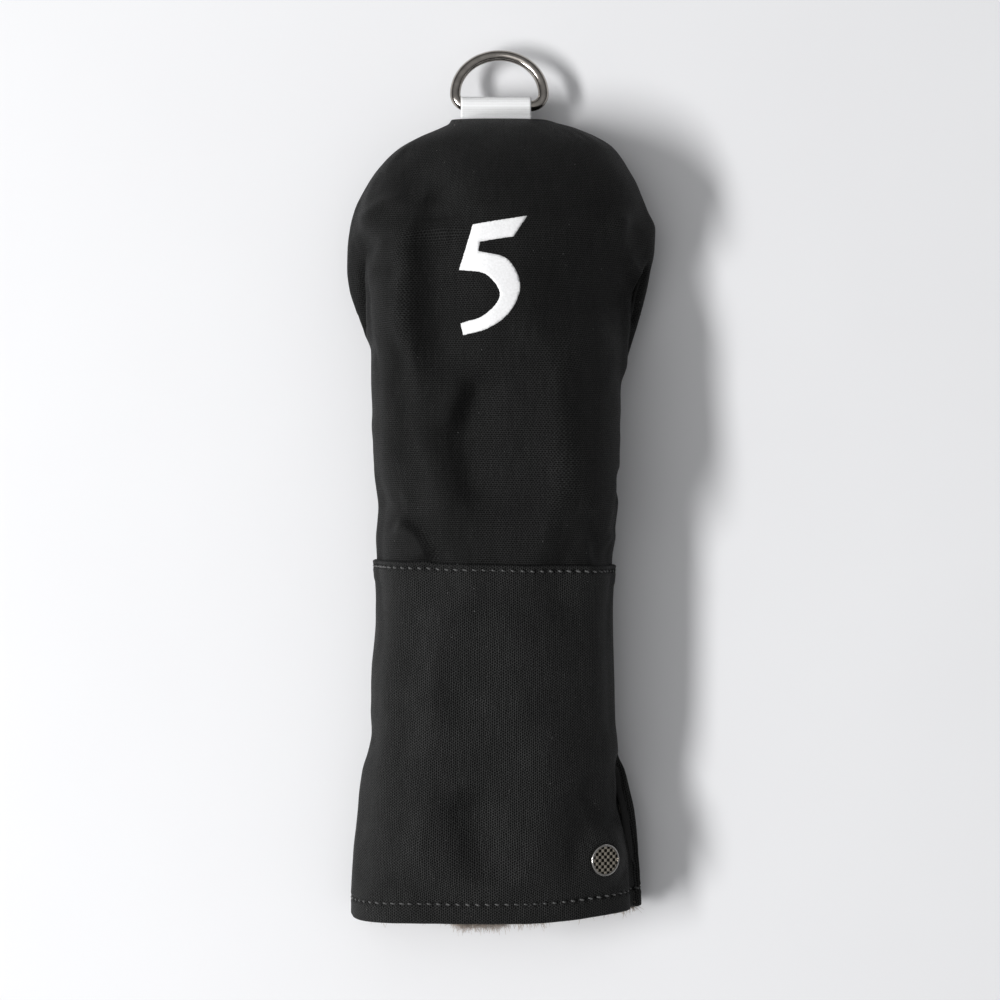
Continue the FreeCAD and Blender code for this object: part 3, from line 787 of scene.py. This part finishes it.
def dimpled(name, light, dark):
    """Plated metal with a plain lattice of light round dimples on a dark ground."""
    look = Look(name, Metallic=0.9)
    stored, across, along = look.grain()
    waves = [look.wave(way, DIMPLE_PITCH, math.pi / 2) for way in (across, along)]
    lattice = look.math("ADD", *waves)
    smear = look.band(look.noise(stored, 1.1, 4.0), 0.3, 0.7, -0.15, 0.15)
    look.colour(look.band(look.math("ADD", lattice, smear), -0.35, 0.35), dark, light)
    look.roughness(look.band(smear, -0.15, 0.15, 0.22, 0.34))
    look.bump(look.noise(stored, 7.0, 4.0), 0.004)
    return look.material


def table_look():
    """Smooth off-white table."""
    look = Look("table", Roughness=0.55, Specular_IOR_Level=0.2)
    patches = look.noise(look.place(), 0.01, 3.0)
    look.colour(patches, grey(0.83, (0.995, 0.995, 1.01)), grey(0.86, (0.995, 0.998, 1.01)))
    return look.material


WEBBING_RIB = 0.85
HEAD_CLOTH = woven("head_cloth", 0.088, 0.48, 0.72, 0.13, 0.36)
SLEEVE_CLOTH = woven("sleeve_cloth", 0.125, 0.75, 0.48, 0.15, 0.50)
PILE = pile()
WADDING = padding("wadding", (0.80, 0.79, 0.76), 1.2)
TAPE = padding("seam_tape", (0.03, 0.03, 0.03), 2.5)
ELASTIC = padding("elastic", (0.62, 0.61, 0.58), 2.0)
THREAD = thread()
WEBBING = webbing_look()
FILM = film()
GUNMETAL = metal("gunmetal", (0.47, 0.44, 0.41), 0.13, 0.05)
NICKEL = metal("nickel", (0.62, 0.60, 0.58), 0.16, 0.06)
STUD_FACE = dimpled("stud_face", (0.60, 0.55, 0.47, 1), (0.020, 0.018, 0.015, 1))


# ---- cloth pieces
def band_shift(x):
    """The canvas edge slopes down to the right."""
    return BAND_SLOPE * x


def hem_shift(x):
    """The mouth's edge isn't quite square: it rises towards the right seam."""
    return 2.2 * smooth(x, 10, 52) - 0.9 * smooth(-x, 20, 52)


def meet_at_seams(*sheets):
    """Brings both edges of each sheet down to the side seams, where front and back are sewn together."""
    for sheet in sheets:
        sheet[:, [0, -1], 2] = SEAM_Z
    return sheets


def head_cloth(front):
    """Head panel, which starts under the canvas and comes up to the outer form above it."""
    points, outward, grain = grid(rows_over(BAND_Y - LAP, CROWN_Y, 0.75, 130), HEAD_COLUMNS[front], front)
    shift = band_shift(points[:, :, 0]) * (1 - smooth(points[:, :, 1] - BAND_Y, 0, 30))
    depth = (1.0 - 0.75 * smooth(points[:, :, 1] - BAND_Y, 1.0, 12.0))[:, :, None]
    points[:, :, 1] += shift
    outer, inner = meet_at_seams(points - outward * depth, points - outward * (depth + CLOTH))
    piece = shell(f"head_{SIDES[front]}_cloth", outer, inner, grain, HEAD_CLOTH, front)
    return stand_in(piece, "head_twill", f"head_{SIDES[front]}_panel")


def stitch_wave(grain, y_line, y):
    """Little pits where the thread goes down, in a shallow groove along the stitch line."""
    gap = y - y_line
    along_pitch = np.cos(2 * math.pi * grain[:, :, 0] / STITCH_PITCH)
    ridges = 0.10 * np.exp(-((np.abs(gap) - 1.7) / 0.8) ** 2)
    return np.exp(-(gap / 0.75) ** 2) * (-0.36 - 0.36 * along_pitch) + ridges


def sleeve_cloth(front):
    """Sleeve panel with its folded top edge and turned hem; also gives its outer points and normals."""
    rows = sleeve_rows()
    points, outward, grain = grid(rows, SLEEVE_COLUMNS[front], front)
    x = points[:, :, 0]
    y = rows[:, None] + 0 * x
    top_gap, hem_gap = BAND_Y - y, y - MOUTH_Y
    double = 1 - smooth(top_gap, TURN_UNDER - 1.0, TURN_UNDER + 1.0)
    turned = 1 - smooth(hem_gap, HEM - 0.4, HEM + 0.4)
    lift = 0.35 * double + stitch_wave(grain, BAND_STITCH_Y, y) + stitch_wave(grain, HEM_STITCH_Y, y)
    lift += 0.10 * soft_noise(x, 0 * x, 4.2, 21) * np.exp(-top_gap / 7)
    lift += 0.16 * soft_noise(x, 0 * x, 6.0, 22) * np.exp(-hem_gap / 8)
    lift -= edge_round(top_gap, 0.7) + edge_round(hem_gap, 0.8)
    thick = CLOTH + 0.3 * double + 0.9 * turned - 0.9 * edge_round(hem_gap, 0.8)
    outer, inner = points + outward * lift[:, :, None], points - outward * thick[:, :, None]
    if not front:
        outer[:, :, 2] = np.maximum(outer[:, :, 2], 0.0)
    shift = band_shift(x) * (1 - smooth(top_gap, 0, 40)) + hem_shift(x) * (1 - smooth(hem_gap, 0, 40))
    outer[:, :, 1] += shift
    inner[:, :, 1] += shift
    meet_at_seams(outer, inner)
    piece = shell(f"sleeve_{SIDES[front]}_cloth", outer, inner, grain, SLEEVE_CLOTH, front)
    stand_in(piece, "sleeve_canvas", f"sleeve_{SIDES[front]}_panel")
    return outer, outward


PLATE_ROOM = 0.7
CLOSING_BACK, CLOSING_GAP = 3.2, 0.05


def inner_layer(name, node, front, ends, depth, material, slot, step=3.0, columns=90, seam_room=0, rough=0):
    """A hidden layer that follows the outer cloth at a depth: padding, elastic or lining."""
    points, outward, grain = grid(rows_over(*ends, step, 26), columns, front)
    if seam_room:
        away = np.where(np.abs(points[:, :, 2] - SEAM_Z).min(axis=0) > seam_room)[0]
        keep = slice(away[0], away[-1] + 1)
        points, outward, grain = points[:, keep], outward[:, keep], grain[:, keep]
    _, away, near = stud_distance(points)
    room = (PLATE_ROOM * (1 - smooth(away, 5.2, 9.0)) * near)[:, :, None]
    points = points + crown_closing(points, front)
    outer = points - outward * (depth[0] + room)
    inner = points - outward * (depth[1] + room)
    if rough:
        inner += outward * (rough * soft_noise(grain[:, :, 0], grain[:, :, 1], 2.6, 31))[:, :, None]
    return stand_in(shell(name, outer, inner, grain, material, front), slot, node)


def crown_closing(points, front):
    """Brings a layer down to the side seams' level just before the crown, where front and back meet."""
    closing = smooth(points[:, :, 1:2], CROWN_Y - 4, CROWN_Y - 0.3)
    level = SEAM_Z + (CLOSING_GAP if front else -CLOSING_GAP)
    none = np.zeros_like(closing)
    return closing * np.concatenate([none, none - CLOSING_BACK, level - points[:, :, 2:]], axis=2)


def wadding(part, front):
    side, node = SIDES[front], f"{part}_wadding_{SIDES[front]}"
    low, high = box_mm(node)
    ends = low[1], min(high[1], CROWN_Y - 6)
    inner_layer(f"{part}_padding_{side}", node, front, ends, WADDING_DEPTH, WADDING, "wadding", seam_room=5)


def lining(front):
    side, ends = SIDES[front], (MOUTH_Y + LINING_INSET, CROWN_Y - 0.1)
    inner_layer(f"boa_{side}", f"lining_{side}", front, ends, LINING_DEPTH, PILE, "boa_lining",
                step=1.2, columns=200, rough=0.8)


def elastic(front):
    low, high = box_mm("neck_elastic")
    ends = low[1], high[1]
    inner_layer(f"elastic_{SIDES[front]}", "neck_elastic", front, ends, ELASTIC_DEPTH, ELASTIC, "elastic")


def tape(part, left):
    """Strip of tape behind a side seam, half on the front and half on the back."""
    side = "left" if left else "right"
    low, high = box_mm(f"{part}_seam_tape_{side}")
    columns, width = 160, 5
    halves = []
    for front in (True, False):
        points, _, grain = grid(rows_over(low[1], high[1], 3.0, 20), columns, front, folded=False)
        take = slice(columns - width, columns) if front == left else slice(0, width)
        halves.append((points[:, take], grain[:, take]))
    first, second = halves if left else halves[::-1]
    points = np.concatenate([first[0], second[0][:, 1:]], axis=1)
    grain = np.concatenate([first[1], second[1][:, 1:]], axis=1)
    outward = np.sign(points[:, :, :1]) * np.array([1.0, 0, 0])
    outer, inner = points - outward * TAPE_DEPTH[0], points - outward * TAPE_DEPTH[1]
    piece = shell(f"{part}_tape_{side}", outer, inner, grain, TAPE, True)
    stand_in(piece, "seam_tape", f"{part}_seam_tape_{side}")


# ---- stitches
STITCH_START, STITCH_END, STITCH_SLANT, STITCH_LIFT, STITCH_SINK = 0.26, 0.74, 0.9, 0.52, 0.32
THREAD_RADIUS, THREAD_SIDES, STITCH_STEPS = 0.33, 8, 9


def stitches(name, node, line, outward):
    """Row of thread stitches along a closed line, each diving into the cloth at both ends."""
    line, outward = np.concatenate([line, line[:1]]), np.concatenate([outward, outward[:1]])
    run = run_along(line)
    count = round(run[-1] / STITCH_PITCH)
    pitch = run[-1] / count
    rng = np.random.default_rng(12)
    share = np.linspace(STITCH_START, STITCH_END, STITCH_STEPS)
    arch = np.sin(np.pi * (share - STITCH_START) / (STITCH_END - STITCH_START))
    slant = np.array([0, STITCH_SLANT, 0]) * (share - 0.5)[:, None]
    twist = np.tile(np.linspace(0, 1.9, THREAD_SIDES, endpoint=False), STITCH_STEPS)
    coordinates = np.stack([twist, np.repeat(share * pitch, THREAD_SIDES), 0 * twist], axis=1)
    points, faces = [], []
    for k in range(count):
        at = ((k + share) * pitch + rng.normal(0, 0.06)) % run[-1]
        base = np.stack([np.interp(at, run, line[:, c]) for c in range(3)], axis=1)
        up = np.stack([np.interp(at, run, outward[:, c]) for c in range(3)], axis=1)
        path = base + up * (STITCH_LIFT * np.maximum(arch, 0) ** 0.6 - STITCH_SINK)[:, None] + slant
        path[:, 2] = np.maximum(path[:, 2], STITCH_SINK)
        new_points, new_faces = rope(path, THREAD_RADIUS, THREAD_SIDES, 0.66 + 0.34 * arch)
        faces += [[k * len(new_points) + i for i in face] for face in new_faces]
        points.append(new_points)
    grain = np.tile(coordinates, (count, 1))
    piece = mesh_piece(name, np.concatenate(points), faces, THREAD, grain=grain)
    stand_in(piece, "thread", node)


def stitch_row(name, node, y_line, front, back):
    """Stitches right round the body, along the row of both sleeve cloths nearest a line."""
    j = int(np.argmin(np.abs(sleeve_rows() - y_line)))
    line, outward = (np.concatenate([front[k][j], back[k][j][1:-1]]) for k in (0, 1))
    stitches(name, node, line, outward)


# ---- club number
def number_outline():
    """Outline of the sloped 5 in its own millimetres, about its middle."""
    outer = [(-5.2, 8.5), (5.4, 5.4), (9.8, -4.0), (5.6, -13.9), (-2.0, -19.3), (-10.7, -21.5)]
    inner = [(-11.7, -17.2), (-3.2, -14.5), (2.5, -7.0), (-1.9, -0.3), (-12.2, 1.9)]
    flag = [(-12.2, 1.9), (-7.2, 17.9), (12.3, 20.9), (7.4, 13.6), (-4.6, 11.8), (-5.2, 8.5)]
    step = 0.4
    parts = [smooth_path(outer, step), smooth_path([outer[-1], inner[0]], step), smooth_path(inner, step)]
    parts += [smooth_path(pair, step) for pair in zip(flag, flag[1:])]
    return np.concatenate([part[:-1] for part in parts])


def edge_gap(outline, x, y):
    return np.hypot(outline[:, 0] - x, outline[:, 1] - y).min()


def is_inside(outline, x, y):
    (x1, y1), (x2, y2) = outline.T, np.roll(outline, -1, axis=0).T
    crossing = (y1 > y) != (y2 > y)
    left_of = x < (x2 - x1) * (y - y1) / np.where(crossing, y2 - y1, 1) + x1
    return (crossing & left_of).sum() % 2 == 1


def club_number(cloth):
    """White film laid on the cloth, with a slightly ragged edge."""
    low, high = box_mm("club_number")
    outline = number_outline()
    top, bottom = outline.max(axis=0), outline.min(axis=0)
    outline = (outline - (top + bottom) / 2) * (high - low)[0] / (top - bottom)[0] + ((low + high) / 2)[:2]
    outline = outline + np.random.default_rng(7).normal(0, 0.05, outline.shape)
    step, clear = 0.9, 0.35
    xs, ys = np.meshgrid(np.arange(low[0], high[0], step), np.arange(low[1], high[1], step))
    spots = [(x, y) for x, y in zip(xs.ravel(), ys.ravel()) if is_inside(outline, x, y)]
    flat = [Vector(p) for p in outline] + [Vector(p) for p in spots if edge_gap(outline, *p) > clear]
    made = geometry.delaunay_2d_cdt(flat, [], [list(range(len(outline)))], 1, 1e-5)
    spots, triangles = np.array([tuple(v) for v in made[0]]), [list(f) for f in made[2]]
    tree = bvhtree.BVHTree.FromObject(cloth, bpy.context.evaluated_depsgraph_get())
    down = Vector((0, 0, -1))
    ground = np.array([tree.ray_cast(Vector((x * MM, y * MM, 0.2)), down)[0].z / MM for x, y in spots])
    edge = np.array([edge_gap(outline, x, y) for x, y in spots])
    upper = np.column_stack([spots, ground + 0.07 + 0.09 * smooth(edge, 0, 0.5)])
    lower = np.column_stack([spots, ground - 0.12])
    piece = mesh_piece("club_number_film", np.concatenate([upper, lower]), film_faces(spots, triangles), FILM)
    stand_in(piece, "number_film", "club_number")


def film_faces(spots, triangles):
    """Top, bottom and rim of a film whose lower points follow its upper ones."""
    count = len(spots)
    a, b, c = (np.append(spots[i], 0) for i in triangles[0])
    if np.cross(b - a, c - a)[2] < 0:
        triangles = [f[::-1] for f in triangles]
    edges = {(a, b) for f in triangles for a, b in zip(f, f[1:] + f[:1])}
    faces = triangles + [[i + count for i in f[::-1]] for f in triangles]
    return faces + [[b, a, a + count, b + count] for a, b in sorted(edges) if (b, a) not in edges]


# ---- webbing, fibres and stud
def webbing():
    """White webbing from the crown seam round the ring's bar and back; its shape turns at its fold line."""
    joint = {j["name"]: np.array(j["pos_m"]) / MM for j in frame["joints"]}
    root, bar = joint["loop_fold"], joint["ring_swing"]
    out = unit(bar - root)
    up = np.array([0.0, -out[2], out[1]])
    tail = centre_mm("webbing_tails")
    half = (box_mm("webbing_tails")[1] - box_mm("webbing_tails")[0])[0] / 2
    ply, turn_radius, tail_back, tail_front = 0.8, 2.55, 1.6, 2.2
    gap = ply / 2 + 0.02
    # one side's middle line from the tails to the start of the turn, then the turn, then the same below
    upper, lower = [], []
    for leg, sign in ((upper, 1), (lower, -1)):
        leg += [tail + np.array([0, -tail_back, sign * gap]), tail + np.array([0, tail_front, sign * gap])]
        leg.append(root + sign * up * gap)
    turn = []
    for degrees in np.linspace(110, -110, 13):
        a = math.radians(degrees)
        turn.append(bar + (out * math.cos(a) + up * math.sin(a)) * (turn_radius + ply / 2))
    upper.append((upper[-1] + turn[0]) / 2)
    lower.append((lower[-1] + turn[-1]) / 2)
    middle = smooth_path([(p[1], p[2]) for p in upper + turn + lower[::-1]], 0.16)
    tangent = unit(np.gradient(middle, axis=0))
    side = np.stack([-tangent[:, 1], tangent[:, 0]], axis=1)
    run = run_along(middle)
    across = np.linspace(-half, half, 67)
    at_edge = np.sign(across) * (np.abs(across) > half - 1)
    frayed = 0.12 * soft_noise(run, run * 0, 3.0, 41)[:, None] * at_edge
    ribs = 0.025 * np.sin(2 * math.pi * run / WEBBING_RIB)[:, None]
    thick = ply / 2 + ribs - 0.8 * edge_round(half - np.abs(across), 0.4)[None, :]
    sheets = []
    for sign in (1, -1):
        sheet = np.zeros((len(middle), len(across), 3))
        sheet[:, :, 0] = across[None, :] + frayed
        for k in (0, 1):
            sheet[:, :, 1 + k] = middle[:, None, k] + sign * side[:, None, k] * thick
        sheets.append(sheet)
    grain = np.stack(np.broadcast_arrays(across[None, :], run[:, None], 0.0), axis=2)
    piece = shell("webbing_strip", *sheets, grain, WEBBING, True, body=None)
    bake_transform(piece)
    stand_in(piece, "webbing", "webbing_loop", "webbing_tails")


def boa_fibres():
    """Tufts of pile inside the mouth, with a fringe that peeps out under the hem's middle and its corner."""
    mouth = {}
    for front in (True, False):
        points, outward, _ = grid(spaced(MOUTH_Y + LINING_INSET, MOUTH_Y + 26, 1.0), 200, front)
        mouth[front] = (points - outward * 4.6, outward)
    rng = np.random.default_rng(5)
    points, faces = [], []
    taper = np.array([1.0, 0.9, 0.75, 0.4])
    # front or back, number of fibres, their reach, and the part of the hem they hang from
    plan = ((True, 2600, 0.4, None), (False, 2300, 0.4, None), (True, 2600, 1.3, (-14, 3)),
            (True, 500, 0.9, (2, 18)), (True, 350, 1.2, (45, 50)))
    for front, number, reach, span in plan:
        sheet, outward = mouth[front]
        rows, columns = sheet.shape[:2]
        for _ in range(number):
            if span is None:
                j, i = int((rows - 1) * rng.random() ** 1.6), int(rng.integers(3, columns - 3))
            else:
                j = int(rng.integers(0, 3))
                i = int(np.argmin(np.abs(sheet[j, :, 0] - rng.uniform(*span))))
            up = outward[j, i]
            way = np.array([rng.normal(0, 0.45), -0.9 + rng.normal(0, 0.3), rng.normal(0, 0.25)])
            way = unit(way - up * (0.9 if span is None else -0.1))
            length = rng.uniform(0.5, 1.0) * reach + 1.8
            curl = rng.normal(0, 0.45, 3)
            base = sheet[j, i] - up * rng.uniform(-0.8, 1.2) + np.array([0, hem_shift(sheet[j, i, 0]), 0])
            path = [base + way * length * s + curl * length * s * s for s in (0, 0.35, 0.7, 1.0)]
            new_points, new_faces = rope(path, rng.uniform(0.06, 0.13), 3, taper)
            faces += [[len(points) * len(new_points) + k for k in face] for face in new_faces]
            points.append(new_points)
    points = np.concatenate(points)
    points[:, 2] = np.maximum(points[:, 2], 0.1)
    mesh_piece("boa_fibres", points, faces, PILE)


def stud_face():
    """Thin face plate of the stud: a disc with a plain lattice of low dimples."""
    _, facing = stud_seat()
    low, high = box_mm("stud_inlay")
    radius, middle = (high - low).max() / 2, (low + high) / 2
    right = unit(np.cross((0, 1, 0), facing))
    up = np.cross(facing, right)
    u, v = np.meshgrid(np.linspace(-1, 1, 81), np.linspace(-1, 1, 81))
    a, b = radius * u * np.sqrt(1 - v * v / 2), radius * v * np.sqrt(1 - u * u / 2)
    across, along = (a + b) * math.sqrt(0.5), (a - b) * math.sqrt(0.5)
    turn = 2 * math.pi / DIMPLE_PITCH
    relief, above, below = 0.05, 0.14, 0.17
    raised = relief * np.clip(np.cos(turn * across) + np.cos(turn * along), -1, 1)
    top = above + raised - edge_round(radius - np.hypot(a, b), 0.15)
    flat = middle + a[:, :, None] * right + b[:, :, None] * up
    outer, inner = flat + facing * top[:, :, None], flat - facing * below
    grain = np.stack([across, along, 0 * along], axis=2)
    piece = shell("stud_face_plate", outer, inner, grain, STUD_FACE, False)
    stand_in(piece, "stud_face", "stud_inlay")


def dress(node, material):
    """Gives a carried-over CAD node its material."""
    piece = frame["nodes"][node]
    piece.data.materials.clear()
    piece.data.materials.append(material)


def build():
    simulate()
    head = head_cloth(True)
    head_cloth(False)
    sleeves = sleeve_cloth(True), sleeve_cloth(False)
    stitch_row("band_stitches", "band_topstitch", BAND_STITCH_Y, *sleeves)
    stitch_row("hem_stitches", "hem_topstitch", HEM_STITCH_Y, *sleeves)
    for front in (True, False):
        wadding("head", front)
        wadding("sleeve", front)
        lining(front)
        elastic(front)
    for part in ("head", "sleeve"):
        for left in (True, False):
            tape(part, left)
    club_number(head)
    stud_face()
    webbing()
    boa_fibres()
    dress("d_ring", GUNMETAL)
    dress("crown_stitching", THREAD)
    for node in ("stud_cap", "stud_post", "stud_back_plate"):
        dress(node, NICKEL)


# ---- stage
def area_light(name, place, target, long, wide, watts):
    """Soft light pointed at a target, its long side level."""
    light = bpy.data.lights.new(name, "AREA")
    light.shape, light.size, light.size_y, light.energy = "ELLIPSE", long, wide, watts
    lamp = linked(name, light)
    lamp.location = place
    lamp.rotation_euler = (Vector(target) - Vector(place)).to_track_quat("-Z", "Y").to_euler()


def table():
    """White table at z = 0."""
    bpy.ops.mesh.primitive_plane_add(size=6.0)
    piece = bpy.context.object
    piece.name = "table"
    piece.data.materials.append(table_look())


def room():
    """Pale surroundings, darker towards the floor; the camera itself sees an even backdrop."""
    low, high, backdrop = 0.05, 0.50, 0.72
    world = bpy.data.worlds.new("room")
    bpy.context.scene.world = world
    world.use_nodes = True
    nodes = Nodes(world.node_tree)
    up = nodes.node("SeparateXYZ", out=2, inputs={0: nodes.node("TexCoord")})
    seen = nodes.node("LightPath")
    background = world.node_tree.nodes["Background"].inputs
    strength = nodes.node("Mix", inputs={0: seen, 2: nodes.band(up, 0.0, 1.0, low, high), 3: backdrop})
    nodes.put(background["Strength"], strength)
    nodes.put(background["Color"], (0.985, 0.99, 1.0, 1))


def camera():
    """Camera straight above the middle of the cover, a metre above the side seams."""
    view_width, above, middle_x, middle_y = 0.36, 1.0, 1.44, 5.67
    lens = bpy.data.cameras.new("camera")
    lens.sensor_width = 36.0
    lens.lens = lens.sensor_width * above / view_width
    eye = linked("camera", lens)
    eye.location = (middle_x * MM, middle_y * MM, SEAM_Z * MM + above)
    bpy.context.scene.camera = eye


def stage():
    """White table, soft light from the left and a camera straight above."""
    table()
    area_light("key", (-1.68, -0.30, 1.76), (0, 0, 0.02), 1.5, 0.36, 53.5)
    area_light("ceiling", (-0.55, 0.15, 1.6), (0, 0, 0), 1.2, 1.2, 3.5)
    room()
    camera()
    settings = bpy.context.scene.view_settings
    settings.view_transform, settings.gamma = "Standard", 0.85


build()
stage()
